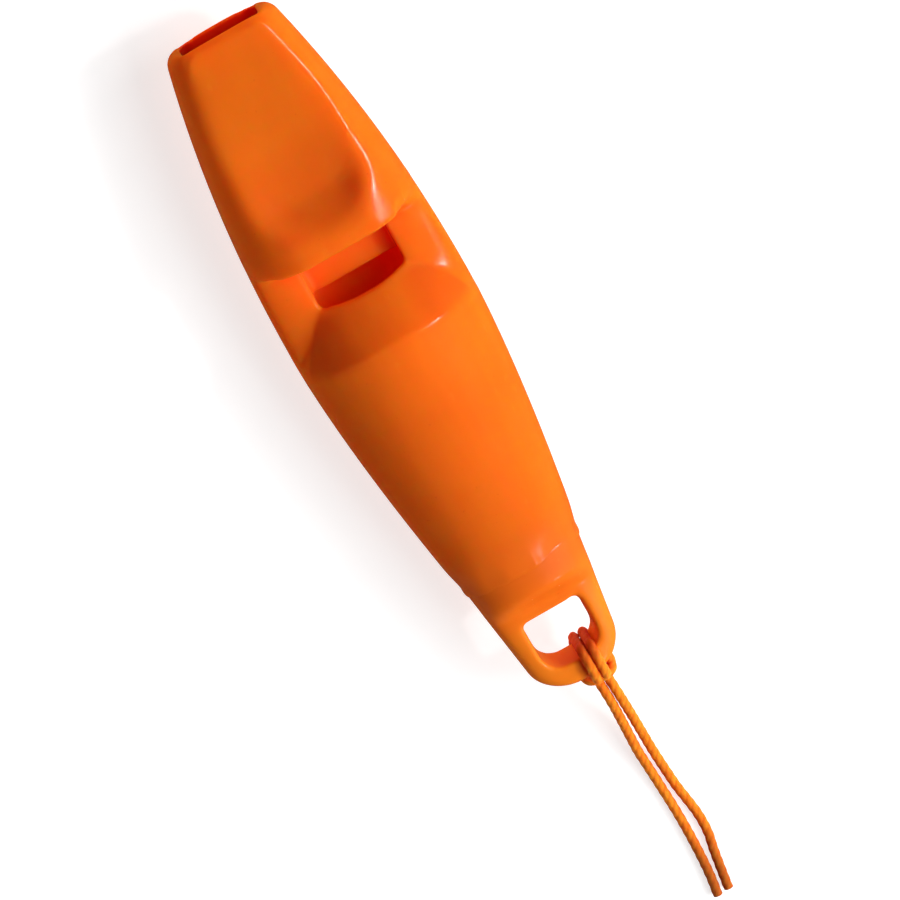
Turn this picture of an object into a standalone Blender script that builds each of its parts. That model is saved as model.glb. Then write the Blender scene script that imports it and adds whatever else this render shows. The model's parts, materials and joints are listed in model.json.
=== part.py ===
"""A pealess safety whistle with a short cord tied to its eye.

The whistle lies window side up, with its mouthpiece towards -X and its eye towards +X. The origin
is under the middle of the two mouldings, on the surface that they lie on. Lengths are in metres.

Two mouldings make the whistle: the body, with the windway, the sound window and the resonance
chamber, and the tail cap, which plugs the chamber and carries the eye. The cord is a lark's head
round the end bar of the eye, with two free ends.
"""

import math

import bmesh
import bpy
from mathutils import Matrix, Vector
from mathutils.geometry import interpolate_bezier

MM = 0.001

# Outside of the body, with distances along it measured from the front of the mouthpiece.
BODY_LENGTH = 62.8 * MM
BODY_WIDTH = 19.0 * MM
BODY_HEIGHT = 13.35 * MM
WIDEST_AT = 33.7 * MM
MOUTH_WIDTH = 11.1 * MM
MOUTH_RISE = 4.0 * MM
MOUTH_DROP = 2.1 * MM
MOUTH_ROUNDING = 1.2 * MM
TAIL_WIDTH = 12.9 * MM
TAIL_HEIGHT = 9.3 * MM
BELLY_FLAT_DEPTH = 0.35 * MM
BODY_SQUARENESS = 2.2

# How fast the outline falls away from the widest section, as powers of the distance.
PLAN_POWER_FRONT = 2.1
PLAN_POWER_REAR = 1.55
CROWN_POWER_FRONT = 2.1
CROWN_POWER_REAR = 1.55

# The slightly flattened strip along the top of the rear body.
TOP_STRIP_WIDTH = 8.2 * MM
TOP_STRIP_START = 36.0 * MM
TOP_STRIP_FADE = 5.0 * MM
TOP_STRIP_FLATNESS = 0.3

# The raised bead where the body is welded to the tail cap.
BEAD_HEIGHT = 0.2 * MM
BEAD_LENGTH = 1.1 * MM

# The lip panel, a flat on top of the mouthpiece that gets dished and sweeps up to the bridge.
PANEL_RISE = 3.2 * MM
PANEL_CLIMB = 0.75 * MM
PANEL_END = 20.8 * MM
PANEL_SWEEP = 4.0 * MM
PANEL_REACH = 9.0 * MM
PANEL_LIP_DISH = 0.2 * MM
PANEL_DISH = 3.0 * MM
PANEL_DISH_START = 7.0 * MM
PANEL_DISH_LENGTH = 10.0 * MM
PANEL_DISH_LOSS = 0.8
PANEL_SQUARENESS = 2.0
LIP_BEVEL = 0.5 * MM

# The windway, from the slot in the mouthpiece to the sound window.
LIP_TOP = 1.3 * MM
LIP_BOTTOM = 0.95 * MM
LIP_SIDE = 1.5 * MM
WINDWAY_HEIGHT = 1.35 * MM
WINDWAY_SIDE_STEP = 0.1 * MM
WINDWAY_SQUARENESS = 7.0

# The bridge, the notch behind it and the sound window in the notch.
BRIDGE_LENGTH = 2.55 * MM
BRIDGE_RISE = 5.95 * MM
SHELF_RISE = 2.0 * MM
ROOF_LIP = 0.35 * MM
WINDOW_WIDTH = 9.2 * MM
WINDOW_LENGTH = 5.25 * MM
WINDOW_FLOOR_DEPTH = 1.9 * MM
BLOCK_LENGTH = 4.3 * MM
LABIUM_BOW = 0.4 * MM
LABIUM_EDGE = 0.65 * MM
RAMP_RADIUS = 8.6 * MM
RAMP_ANGLE = math.radians(33.7)

# The resonance chamber, cored out from the tail.
CHAMBER_SIDE_STEP = 0.3 * MM
CHAMBER_DROP = 2.9 * MM
CHAMBER_SQUARENESS = 2.3
TAIL_WALL = 1.0 * MM

# The tail cap, with distances along it measured from its shoulder.
CLEARANCE = 0.3 * MM
PLUG_LENGTH = 5.0 * MM
CAP_STEP = 0.2 * MM
SHOULDER_DRAFT = 0.05 * MM
DOME_LENGTH = 3.8 * MM
EYE_SETBACK = 0.8 * MM
EYE_LENGTH = 6.1 * MM
EYE_WIDTH = 6.3 * MM
EYE_RIM = 1.85 * MM
EYE_BAR = 2.65 * MM
EYE_THICKNESS = 4.4 * MM
EYE_FRONT_CORNER = 0.6 * MM
EYE_REAR_CORNER = 2.1 * MM
EYE_EDGE_ROUNDING = 1.2 * MM
EYE_TIP_WIDTH = 0.9 * MM
TAB_SQUARENESS = 4.0

# The cord and its lark's head.
CORD = 1.0 * MM
CORD_GAP = 0.45 * MM
HITCH_SIDE = 1.2 * MM
CORD_EXIT_DROP = 2.6 * MM
HITCH_STEP = 0.55 * MM
TAIL_STEP = 2.2 * MM

# Facets round a cross-section.
BODY_SIDES = 64
CUTTER_SIDES = 48
CAP_SIDES = 48
RAMP_SIDES = 128
CUT_PAST = 6.0 * MM

MIDLINE = BODY_HEIGHT / 2
CAP_LENGTH = DOME_LENGTH + EYE_SETBACK + EYE_LENGTH + EYE_BAR
SHOULDER = BODY_LENGTH + CLEARANCE
WHISTLE_LENGTH = SHOULDER + CAP_LENGTH
MOUTH_X = -WHISTLE_LENGTH / 2
BRIDGE_END = PANEL_END + BRIDGE_LENGTH
LABIUM_AT = BRIDGE_END + WINDOW_LENGTH
BLOCK_END = BRIDGE_END + BLOCK_LENGTH
SHELF = MIDLINE + SHELF_RISE
WINDOW_FLOOR = SHELF - WINDOW_FLOOR_DEPTH
EYE_FRONT = SHOULDER + DOME_LENGTH + EYE_SETBACK
EYE_REAR = EYE_FRONT + EYE_LENGTH

PLASTIC_ORANGE = (0.83, 0.20, 0.008)
PLASTIC_ROUGHNESS = 0.38
CORD_ORANGE = (0.80, 0.17, 0.010)
CORD_ROUGHNESS = 0.7
SHARP_EDGE = math.radians(30)


def clear_scene():
    for obj in list(bpy.data.objects):
        bpy.data.objects.remove(obj)


def principled(name, colour, roughness):
    """A plain Principled material."""
    material = bpy.data.materials.new(name)
    material.use_nodes = True
    shader = material.node_tree.nodes["Principled BSDF"]
    shader.inputs["Base Color"].default_value = (*colour, 1.0)
    shader.inputs["Roughness"].default_value = roughness
    shader.inputs["Metallic"].default_value = 0.0
    return material


def add_object(name, data, parent, material=None):
    """Links an object; one without a material is a cutter, left out of the finished part."""
    obj = bpy.data.objects.new(name, data)
    bpy.context.scene.collection.objects.link(obj)
    obj.parent = parent
    if material:
        data.materials.append(material)
    else:
        obj.hide_render = True
        obj.display_type = "WIRE"
    return obj


def mesh_from(bm, name):
    bmesh.ops.recalc_face_normals(bm, faces=bm.faces)
    mesh = bpy.data.meshes.new(name)
    bm.to_mesh(mesh)
    bm.free()
    mesh.shade_smooth()
    mesh.set_sharp_from_angle(angle=SHARP_EDGE)
    return mesh


def combine(target, other, operation):
    modifier = target.modifiers.new(f"{operation.lower()} {other.name}", "BOOLEAN")
    modifier.object = other
    modifier.operation = operation
    modifier.solver = "EXACT"


def smooth_step(value, start, end):
    """0 before start, 1 after end and a soft S between them."""
    share = min(1.0, max(0.0, (value - start) / (end - start)))
    return share * share * (3 - 2 * share)


def fill_out(value, squareness):
    """Moves a point of the unit circle out to an oval that is squarer than a circle."""
    return math.copysign(abs(value) ** (2 / squareness), value)


def add_ring(bm, sides, x, half_width, low, middle, high, squareness, flatten=None):
    """One closed cross-section at x, reaching from low to high and widest at the height middle."""
    verts = bmesh.ops.create_circle(bm, segments=sides, radius=1.0)["verts"]
    for vert in verts:
        across = fill_out(vert.co.x, squareness) * half_width
        up = fill_out(vert.co.y, squareness)
        height = middle + up * ((high - middle) if up > 0 else (middle - low))
        if flatten and up > 0:
            height = flatten(x, across, height, half_width, high - middle)
        vert.co = (x, across, height)
    return list({edge for vert in verts for edge in vert.link_edges})


def loft(sides, sections, flatten=None):
    """A closed solid through cross-sections, each (x, half width, low, middle, high, squareness)."""
    bm = bmesh.new()
    rings = [add_ring(bm, sides, *section, flatten) for section in sections]
    for ring, following in zip(rings, rings[1:]):
        bmesh.ops.bridge_loops(bm, edges=ring + following)
    for end in (rings[0], rings[-1]):
        bmesh.ops.contextual_create(bm, geom=end)
    return bm


def prism(outline, low, high):
    """An outline in plan, extruded upright from low to high."""
    bm = bmesh.new()
    verts = [bm.verts.new((x, y, low)) for x, y in outline]
    face = bm.faces.new(verts)
    raised = bmesh.ops.extrude_face_region(bm, geom=[face])["geom"]
    lifted = [item for item in raised if isinstance(item, bmesh.types.BMVert)]
    bmesh.ops.translate(bm, verts=lifted, vec=(0, 0, high - low))
    return bm


def box(low, high):
    outline = [(low[0], low[1]), (high[0], low[1]), (high[0], high[1]), (low[0], high[1])]
    return prism(outline, low[2], high[2])


def taper(x, at_mouth, at_widest, at_tail, power_front, power_rear):
    """A size that grows from the mouth to the widest section and shrinks again to the tail."""
    if x < WIDEST_AT:
        away = (WIDEST_AT - x) / WIDEST_AT
        return at_widest - (at_widest - at_mouth) * away**power_front
    away = (x - WIDEST_AT) / (BODY_LENGTH - WIDEST_AT)
    return at_widest - (at_widest - at_tail) * away**power_rear


def body_section(x, inset=0.0):
    """The body's outer oval at x, before anything is cut from it."""
    half_width = taper(
        x, MOUTH_WIDTH / 2, BODY_WIDTH / 2, TAIL_WIDTH / 2, PLAN_POWER_FRONT, PLAN_POWER_REAR
    )
    rise = taper(
        x, MOUTH_RISE, BODY_HEIGHT - MIDLINE, TAIL_HEIGHT / 2, CROWN_POWER_FRONT, CROWN_POWER_REAR
    )
    drop = taper(
        x,
        MOUTH_DROP,
        MIDLINE + BELLY_FLAT_DEPTH,
        TAIL_HEIGHT / 2,
        CROWN_POWER_FRONT,
        CROWN_POWER_REAR,
    )
    low = MIDLINE - drop + inset
    high = MIDLINE + rise - inset
    return x, half_width - inset, low, MIDLINE, high, BODY_SQUARENESS


def flatten_top_strip(x, across, height, half_width, rise):
    """Takes most of the crown off a strip along the top of the rear body."""
    edge = TOP_STRIP_WIDTH / 2
    if abs(across) >= edge or half_width <= edge:
        return height
    edge_share = (1 - (edge / half_width) ** BODY_SQUARENESS) ** (1 / BODY_SQUARENESS)
    edge_height = MIDLINE + rise * edge_share
    flatness = TOP_STRIP_FLATNESS * smooth_step(x, TOP_STRIP_START, TOP_STRIP_START + TOP_STRIP_FADE)
    return height - flatness * (height - edge_height)


def body_shell():
    """The torpedo outside of the body, with a rounded mouth, a weld bead and a flat to lie on."""
    sections = []
    rounding_steps = 5
    for step in range(rounding_steps):
        turn = step / rounding_steps * math.pi / 2
        x = MOUTH_ROUNDING * (1 - math.cos(turn))
        sections.append(body_section(x, MOUTH_ROUNDING * (1 - math.sin(turn))))
    bead_start = BODY_LENGTH - BEAD_LENGTH
    plain_steps = 30
    for step in range(plain_steps + 1):
        x = MOUTH_ROUNDING + (bead_start - MOUTH_ROUNDING) * step / plain_steps
        sections.append(body_section(x))
    for share, height in ((0.4, 0.8), (0.7, 1.0), (0.9, 0.8), (1.0, 0.3)):
        x = bead_start + share * BEAD_LENGTH
        sections.append(body_section(x, -height * BEAD_HEIGHT))
    bm = loft(BODY_SIDES, sections, flatten_top_strip)
    everything = bm.verts[:] + bm.edges[:] + bm.faces[:]
    cut = bmesh.ops.bisect_plane(
        bm, geom=everything, plane_co=(0, 0, 0), plane_no=(0, 0, -1), clear_outer=True
    )
    rim = [item for item in cut["geom_cut"] if isinstance(item, bmesh.types.BMEdge)]
    bmesh.ops.contextual_create(bm, geom=rim)
    return bm


def panel_section(x):
    """The dish of the lip panel at x, as the lower half of a wide oval."""
    swept = smooth_step(x, PANEL_END - PANEL_SWEEP, PANEL_END)
    sweep_rise = BRIDGE_RISE - PANEL_RISE - PANEL_CLIMB + CLEARANCE / 2
    low = MIDLINE + PANEL_RISE + PANEL_CLIMB * max(0.0, x) / PANEL_END + sweep_rise * swept
    low -= max(0.0, LIP_BEVEL - x)
    dished = smooth_step(x, PANEL_DISH_START, PANEL_DISH_START + PANEL_DISH_LENGTH)
    middle = low + PANEL_LIP_DISH + PANEL_DISH * dished * (1 - PANEL_DISH_LOSS * swept)
    return x, PANEL_REACH, low, middle, middle + BODY_HEIGHT, PANEL_SQUARENESS


def panel_cutter():
    """The lip panel, bevelled at the lip and swept up to the bridge."""
    places = [-MOUTH_ROUNDING, LIP_BEVEL]
    dish_steps = 6
    for step in range(dish_steps):
        places.append(PANEL_DISH_START + PANEL_DISH_LENGTH * step / dish_steps)
    sweep_start = max(PANEL_END - PANEL_SWEEP, places[-1] + CLEARANCE)
    sweep_steps = 10
    for step in range(sweep_steps + 1):
        places.append(sweep_start + (PANEL_END - sweep_start) * step / sweep_steps)
    return loft(CUTTER_SIDES, [panel_section(x) for x in places])


def bridge_cutter():
    """Planes the crown of the bridge flat."""
    reach = BODY_WIDTH
    low = (PANEL_END - PANEL_SWEEP / 2, -reach, MIDLINE + BRIDGE_RISE)
    high = (BRIDGE_END + WINDOW_LENGTH / 2, reach, MIDLINE + BODY_HEIGHT)
    return box(low, high)


def ramp_axis_height():
    """The ramp's cone touches the shelf at the window's two rear corners."""
    return SHELF - math.sqrt(RAMP_RADIUS**2 - (WINDOW_WIDTH / 2) ** 2)


def ramp_cone():
    """The cone that the labium ramp follows, widening towards the tail."""
    slope = math.tan(RAMP_ANGLE)
    start = BRIDGE_END - ROOF_LIP
    end = LABIUM_AT + BODY_HEIGHT + CUT_PAST
    radius_start = max(LABIUM_EDGE, RAMP_RADIUS + slope * (start - LABIUM_AT))
    radius_end = RAMP_RADIUS + slope * (end - LABIUM_AT)
    place = Matrix.Translation(((start + end) / 2, 0, ramp_axis_height()))
    along_x = Matrix.Rotation(math.pi / 2, 4, "Y")
    bm = bmesh.new()
    bmesh.ops.create_cone(
        bm,
        cap_ends=True,
        segments=RAMP_SIDES,
        radius1=radius_start,
        radius2=radius_end,
        depth=end - start,
        matrix=place @ along_x,
    )
    return bm


def notch_cutter():
    """The notch behind the bridge, down to the shelf; the ramp is taken from it."""
    reach = BODY_WIDTH
    low = (BRIDGE_END, -reach, SHELF)
    high = (LABIUM_AT + BODY_HEIGHT, reach, MIDLINE + BODY_HEIGHT)
    return box(low, high)


def window_cutter():
    """The sound window, bowed at the labium."""
    half = WINDOW_WIDTH / 2
    front = BRIDGE_END + ROOF_LIP
    outline = [(front, half), (front, -half)]
    bow_steps = 10
    for step in range(bow_steps + 1):
        across = half * (2 * step / bow_steps - 1)
        outline.append((LABIUM_AT + LABIUM_BOW * (1 - (across / half) ** 2), across))
    return prism(outline, WINDOW_FLOOR, MIDLINE + BODY_HEIGHT)


def windway_cutter():
    """The flat air passage from the mouth to the window, narrowing in height as it goes."""
    roof_mouth = MIDLINE + PANEL_RISE - LIP_TOP
    floor_mouth = MIDLINE - MOUTH_DROP + LIP_BOTTOM
    half_mouth = MOUTH_WIDTH / 2 - LIP_SIDE
    roof_exit = SHELF - ROOF_LIP
    floor_exit = roof_exit - WINDWAY_HEIGHT
    half_exit = WINDOW_WIDTH / 2 - WINDWAY_SIDE_STEP
    sections = []
    for x, half, floor, roof in (
        (-MOUTH_ROUNDING, half_mouth, floor_mouth, roof_mouth),
        (MOUTH_ROUNDING, half_mouth, floor_mouth, roof_mouth),
        (BRIDGE_END + 2 * ROOF_LIP, half_exit, floor_exit, roof_exit),
    ):
        sections.append((x, half, floor, (floor + roof) / 2, roof, WINDWAY_SQUARENESS))
    return loft(CUTTER_SIDES, sections)


def chamber_section(x, inset=0.0):
    """The chamber's oval at x: straight lines from behind the window to the open tail."""
    share = (x - BLOCK_END) / (BODY_LENGTH - BLOCK_END)
    front_half = WINDOW_WIDTH / 2 + CHAMBER_SIDE_STEP
    front_rise = ramp_axis_height() + RAMP_RADIUS - LABIUM_EDGE - MIDLINE
    half = front_half + share * (TAIL_WIDTH / 2 - TAIL_WALL - front_half)
    rise = front_rise + share * (TAIL_HEIGHT / 2 - TAIL_WALL - front_rise)
    drop = CHAMBER_DROP + share * (TAIL_HEIGHT / 2 - TAIL_WALL - CHAMBER_DROP)
    low = MIDLINE - drop + inset
    high = MIDLINE + rise - inset
    return x, half - inset, low, MIDLINE, high, CHAMBER_SQUARENESS


def chamber_cutter():
    ends = (BLOCK_END, BODY_LENGTH + CUT_PAST)
    return loft(CUTTER_SIDES, [chamber_section(x) for x in ends])


def make_body(parent, material):
    body = add_object("whistle_body", mesh_from(body_shell(), "whistle_body"), parent, material)
    cone = add_object("ramp_cone", mesh_from(ramp_cone(), "ramp_cone"), parent)
    cutters = {
        "panel_cutter": panel_cutter(),
        "bridge_cutter": bridge_cutter(),
        "notch_cutter": notch_cutter(),
        "window_cutter": window_cutter(),
        "windway_cutter": windway_cutter(),
        "chamber_cutter": chamber_cutter(),
    }
    for name, bm in cutters.items():
        cutter = add_object(name, mesh_from(bm, name), parent)
        if name == "notch_cutter":
            combine(cutter, cone, "DIFFERENCE")
        combine(body, cutter, "DIFFERENCE")
    return body


def cap_half_width(x):
    """The cap's plan: straight sides to the eye's rear corners, then a half-oval end."""
    start = TAIL_WIDTH / 2 - CAP_STEP
    end = EYE_WIDTH / 2 + EYE_RIM
    turn_at = EYE_REAR - EYE_REAR_CORNER / 2
    if x < turn_at:
        return start + (end - start) * (x - SHOULDER) / (turn_at - SHOULDER)
    share = (x - turn_at) / (WHISTLE_LENGTH - turn_at)
    return end * math.sqrt(max(0.0, 1 - share * share))


def cap_section(x):
    """The cap's outer section: an oval dome that settles into the flat tab of the eye."""
    settled = smooth_step(x, SHOULDER + DOME_LENGTH / 4, SHOULDER + DOME_LENGTH)
    dome_half = TAIL_HEIGHT / 2 - CAP_STEP
    half_height = dome_half + settled * (EYE_THICKNESS / 2 - dome_half)
    from_end = WHISTLE_LENGTH - x
    if from_end < EYE_EDGE_ROUNDING:
        short = EYE_EDGE_ROUNDING - from_end
        half_height -= EYE_EDGE_ROUNDING - math.sqrt(EYE_EDGE_ROUNDING**2 - short**2)
    squareness = BODY_SQUARENESS + settled * (TAB_SQUARENESS - BODY_SQUARENESS)
    low = MIDLINE - half_height
    high = MIDLINE + half_height
    return x, cap_half_width(x), low, MIDLINE, high, squareness


def cap_shell():
    """The plug, the dome and the tab in one loft."""
    plug_start = SHOULDER - PLUG_LENGTH
    lead_in = CLEARANCE
    sections = [
        chamber_section(plug_start, CLEARANCE + lead_in),
        chamber_section(plug_start + lead_in, CLEARANCE),
        chamber_section(SHOULDER - SHOULDER_DRAFT, CLEARANCE),
    ]
    side_steps = 16
    turn_at = EYE_REAR - EYE_REAR_CORNER / 2
    for step in range(side_steps + 1):
        sections.append(cap_section(SHOULDER + (turn_at - SHOULDER) * step / side_steps))
    end_steps = 10
    for step in range(1, end_steps):
        turn = step / end_steps * math.pi / 2
        sections.append(cap_section(turn_at + (WHISTLE_LENGTH - turn_at) * math.sin(turn)))
    sections.append(cap_tip())
    return loft(CAP_SIDES, sections)


def cap_tip():
    """The last section, a narrow face that closes the rounded end."""
    _, _, low, middle, high, squareness = cap_section(WHISTLE_LENGTH)
    return WHISTLE_LENGTH, EYE_TIP_WIDTH / 2, low, middle, high, squareness


def eye_cutter():
    """The eye: straight in front, with large round corners behind, cut right through."""
    half = EYE_WIDTH / 2
    bm = bmesh.new()
    corners = ((EYE_FRONT, -half), (EYE_REAR, -half), (EYE_REAR, half), (EYE_FRONT, half))
    verts = [bm.verts.new((x, y, MIDLINE - CUT_PAST)) for x, y in corners]
    bm.faces.new(verts)
    for pair, radius in (((0, 3), EYE_FRONT_CORNER), ((1, 2), EYE_REAR_CORNER)):
        bmesh.ops.bevel(
            bm,
            geom=[verts[index] for index in pair],
            offset=radius,
            offset_type="OFFSET",
            affect="VERTICES",
            segments=6,
            profile=0.5,
            material=-1,
        )
    raised = bmesh.ops.extrude_face_region(bm, geom=bm.faces[:])["geom"]
    lifted = [item for item in raised if isinstance(item, bmesh.types.BMVert)]
    bmesh.ops.translate(bm, verts=lifted, vec=(0, 0, 2 * CUT_PAST))
    return bm


def make_cap(parent, material):
    cap = add_object("tail_cap", mesh_from(cap_shell(), "tail_cap"), parent, material)
    eye = add_object("eye_cutter", mesh_from(eye_cutter(), "eye_cutter"), parent)
    combine(cap, eye, "DIFFERENCE")
    return cap


def smooth_route(points, step):
    """Points about a step apart on a smooth curve through the given points."""
    points = [Vector(point) for point in points]
    padded = [points[0], *points, points[-1]]
    pieces = 24
    fine = []
    for index in range(len(points) - 1):
        before, start, end, after = padded[index : index + 4]
        out_of_start = start + (end - before) / 6
        into_end = end - (after - start) / 6
        fine += interpolate_bezier(start, out_of_start, into_end, end, pieces)[:-1]
    fine.append(points[-1])
    lengths = [0.0]
    for start, end in zip(fine, fine[1:]):
        lengths.append(lengths[-1] + (end - start).length)
    count = max(2, round(lengths[-1] / step))
    route = []
    index = 0
    for number in range(count + 1):
        wanted = lengths[-1] * number / count
        while index < len(fine) - 2 and lengths[index + 1] < wanted:
            index += 1
        span = lengths[index + 1] - lengths[index]
        route.append(fine[index].lerp(fine[index + 1], (wanted - lengths[index]) / span))
    return route


def route_length(route):
    return sum((end - start).length for start, end in zip(route, route[1:]))


def least_self_gap(route, diameter):
    """The least clear space between stretches of a tube that aren't neighbours along it."""
    apart = math.ceil(3 * diameter / (route_length(route) / (len(route) - 1)))
    nearest = min(
        (route[first] - route[second]).length
        for first in range(len(route))
        for second in range(first + apart, len(route))
    )
    return nearest - diameter


def cord_tube(name, route, resolution, parent, material, origin=(0, 0, 0)):
    """A round tube along the route, closed at both ends."""
    curve = bpy.data.curves.new(name, "CURVE")
    curve.dimensions = "3D"
    curve.bevel_depth = CORD / 2
    curve.bevel_resolution = resolution
    curve.use_fill_caps = True
    spline = curve.splines.new("POLY")
    spline.points.add(len(route) - 1)
    for point, place in zip(spline.points, route):
        point.co = (*(place - Vector(origin)), 1.0)
    obj = add_object(name, curve, parent, material)
    obj.location = origin
    return obj


def leg_side(side):
    return HITCH_SIDE + side * (CORD + CORD_GAP) / 2


def band_place():
    """The middle of the band: one cord and a gap outside the legs and above the free ends."""
    x = WHISTLE_LENGTH + CLEARANCE + CORD / 2 + CORD + CORD_GAP
    return Vector((x, HITCH_SIDE, MIDLINE - CORD_EXIT_DROP + CORD + CORD_GAP))


def cord_exit(side):
    """Where a leg of the hitch ends and its free end starts."""
    return Vector((band_place().x + 2 * CORD, leg_side(side), MIDLINE - CORD_EXIT_DROP))


def hitch_half(side):
    """From the middle of the band, under the bar, up through the eye and over the bar to the exit."""
    stand_off = CORD / 2 + CLEARANCE
    over = MIDLINE + EYE_THICKNESS / 2 + stand_off
    under = MIDLINE - EYE_THICKNESS / 2 - stand_off
    inside = EYE_REAR - stand_off - CORD / 5
    outside = WHISTLE_LENGTH + stand_off
    bar_middle = (EYE_REAR + WHISTLE_LENGTH) / 2
    leg = leg_side(side)
    wide = leg + side * (CORD + CORD_GAP)
    halfway = (leg + wide) / 2
    band = band_place()
    end = cord_exit(side)
    bend = 0.8 * CORD
    return [
        (band.x, leg, band.z),
        (band.x - 0.1 * CORD, wide - side * 0.35 * CORD, band.z - 0.3 * CORD),
        (band.x - 0.6 * CORD, wide, band.z - bend),
        (outside, wide, under + 0.4 * CORD),
        (WHISTLE_LENGTH - 0.4 * CORD, wide - side * 0.3 * CORD, under),
        (bar_middle, halfway, under),
        (EYE_REAR + 0.3 * CORD, leg + side * 0.2 * CORD, under),
        (inside, leg, under + bend),
        (inside, leg, MIDLINE - bend),
        (inside, leg, MIDLINE + bend),
        (inside, leg, over - bend),
        (EYE_REAR + 0.3 * CORD, leg, over),
        (bar_middle + 0.3 * CORD, leg, over),
        (outside - 0.4 * CORD, leg, over - 0.5 * CORD),
        (outside, leg, over - 1.5 * CORD),
        (outside, leg, MIDLINE - 0.2 * CORD),
        (outside + 0.15 * CORD, leg, end.z + 0.9 * CORD),
        (outside + bend, leg, end.z + 0.1 * CORD),
        (end.x - CORD, leg, end.z),
        tuple(end),
    ]


def make_hitch(parent, material):
    """The lark's head, one unbroken tube from one exit to the other."""
    points = [*reversed(hitch_half(-1)), band_place(), *hitch_half(1)]
    route = smooth_route(points, HITCH_STEP)
    gap = least_self_gap(route, CORD)
    print(f"hitch: {route_length(route) / MM:.1f} mm of cord, least gap to itself {gap / MM:.2f} mm")
    return cord_tube("lanyard_hitch", route, 1, parent, material)


# The free ends lie down from the hitch onto the surface: distance past the root, side, height.
LEFT_TAIL_POINTS = (
    (4.6, 0.68, 2.60),
    (9.8, 0.68, 1.15),
    (14.6, 0.92, 0.56),
    (19.2, 1.05, 0.55),
    (21.5, 1.00, 0.55),
    (24.0, 0.90, 0.55),
    (27.7, 0.52, 0.55),
)
RIGHT_TAIL_POINTS = (
    (4.6, 2.06, 2.60),
    (9.8, 2.10, 1.15),
    (14.6, 2.38, 0.56),
    (16.9, 2.68, 0.55),
    (19.2, 2.88, 0.55),
    (21.5, 2.76, 0.55),
    (23.8, 2.33, 0.55),
    (27.6, 1.86, 0.55),
)


def make_tail(name, side, points, parent, material):
    """One free end; its origin is on the axis that it swings about, on top of its root."""
    root = cord_exit(side) + Vector((CLEARANCE, 0, 0))
    pivot = root + Vector((-CLEARANCE / 2, 0, CORD / 2))
    placed = [root, root + Vector((CORD, 0, 0))]
    placed += [Vector((root.x + x * MM, y * MM, z * MM)) for x, y, z in points]
    route = smooth_route(placed, TAIL_STEP)
    tail = cord_tube(name, route, 2, parent, material, pivot)
    swings_at = [round(value, 5) for value in pivot + Vector((MOUTH_X, 0, 0))]
    print(f"{name}: {route_length(route) / MM:.1f} mm of cord, swings about {swings_at}")
    return tail


def main():
    clear_scene()
    frame = bpy.data.objects.new("whistle_frame", None)
    bpy.context.scene.collection.objects.link(frame)
    frame.location = (MOUTH_X, 0, 0)
    body_plastic = principled("body_plastic", PLASTIC_ORANGE, PLASTIC_ROUGHNESS)
    cap_plastic = principled("cap_plastic", PLASTIC_ORANGE, PLASTIC_ROUGHNESS)
    make_body(frame, body_plastic)
    make_cap(frame, cap_plastic)
    make_hitch(frame, principled("hitch_cord", CORD_ORANGE, CORD_ROUGHNESS))
    left_cord = principled("left_cord", CORD_ORANGE, CORD_ROUGHNESS)
    right_cord = principled("right_cord", CORD_ORANGE, CORD_ROUGHNESS)
    make_tail("lanyard_tail_left", -1, LEFT_TAIL_POINTS, frame, left_cord)
    make_tail("lanyard_tail_right", 1, RIGHT_TAIL_POINTS, frame, right_cord)


main()
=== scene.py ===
# %% [markdown]
# # The looks of a moulded safety whistle
# The solids of this part come packed as a fixed frame, in metres, with +X towards the lanyard eye
# and +Z up. This lesson dresses them: a soft-edged moulding in orange plastic, a welded tail cap
# and a twisted cord, lit like a small studio photograph.

import json
import math

import bmesh
import bpy
from mathutils import Matrix, Vector
from mathutils.geometry import interpolate_bezier

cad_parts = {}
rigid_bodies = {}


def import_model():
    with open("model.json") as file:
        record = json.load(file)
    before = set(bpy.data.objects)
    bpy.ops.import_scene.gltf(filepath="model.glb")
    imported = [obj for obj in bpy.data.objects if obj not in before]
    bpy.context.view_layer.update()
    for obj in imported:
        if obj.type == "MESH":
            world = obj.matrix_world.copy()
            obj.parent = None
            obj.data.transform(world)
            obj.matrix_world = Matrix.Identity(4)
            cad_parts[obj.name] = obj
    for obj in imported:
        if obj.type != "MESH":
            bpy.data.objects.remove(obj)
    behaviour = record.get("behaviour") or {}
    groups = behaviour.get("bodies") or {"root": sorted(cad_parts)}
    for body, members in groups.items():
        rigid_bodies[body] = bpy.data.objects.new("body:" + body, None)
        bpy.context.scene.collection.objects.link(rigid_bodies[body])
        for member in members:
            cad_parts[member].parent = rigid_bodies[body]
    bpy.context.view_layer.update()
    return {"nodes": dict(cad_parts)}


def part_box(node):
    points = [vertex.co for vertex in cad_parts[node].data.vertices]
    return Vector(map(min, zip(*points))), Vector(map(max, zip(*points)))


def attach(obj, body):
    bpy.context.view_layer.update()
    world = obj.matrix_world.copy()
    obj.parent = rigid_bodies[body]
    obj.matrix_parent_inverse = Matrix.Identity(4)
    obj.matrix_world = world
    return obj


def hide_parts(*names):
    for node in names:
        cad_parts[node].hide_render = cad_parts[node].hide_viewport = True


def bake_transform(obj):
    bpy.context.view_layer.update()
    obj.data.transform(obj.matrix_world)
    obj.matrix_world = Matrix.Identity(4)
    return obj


MM = 0.001
for leftover in list(bpy.data.objects):
    bpy.data.objects.remove(leftover)
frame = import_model()
print("solids:", sorted(frame["nodes"]))

# %% [markdown]
# ## Camera
# The photograph looks down on the whistle, leaning 22 degrees towards the mouthpiece, with the
# picture turned so that the whistle runs down to the right. A long lens keeps the sides parallel.
# The camera's axes are worked out as vectors, because a tilt and a roll are easier to read that way
# than as three angles.

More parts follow.
